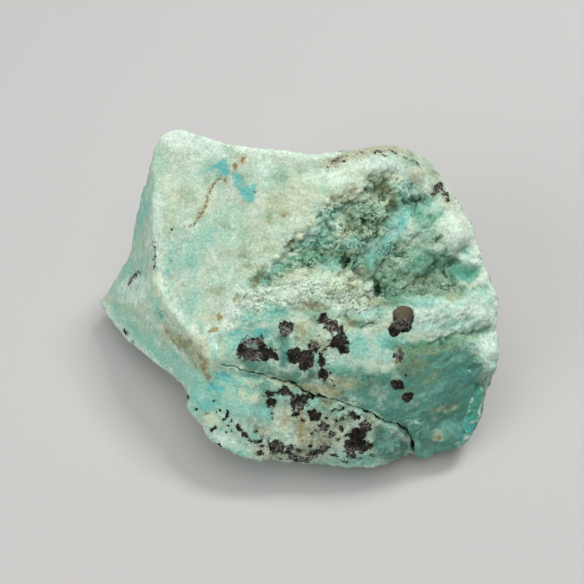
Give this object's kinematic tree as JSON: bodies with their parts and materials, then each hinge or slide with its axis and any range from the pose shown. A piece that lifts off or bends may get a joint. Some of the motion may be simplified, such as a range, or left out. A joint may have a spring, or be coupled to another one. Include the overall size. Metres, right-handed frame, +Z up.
{
  "type": "raw chrysocolla stone",
  "caption": "Hand-sized lump of raw blue-green chrysocolla, flat on its sole, with a smooth pale face, a rough crystal belt and dark mineral spots.",
  "frame": {"origin": "middle of the outline, on the plane that the lump rests on", "axes": "+Z up from the sole, +X along the longest side towards the thick rounded end, -Y the front, which the smooth face and the crystal belt look to"},
  "size_m": [0.0884, 0.0654, 0.0498],
  "materials": {
    "chrysocolla_rock": "dull, rough broken stone in mottled turquoise, grey-green and cream, with dark brown to black spots"
  },
  "bodies": {
    "root": {"chrysocolla": "chrysocolla_rock"}
  },
  "joints": []
}
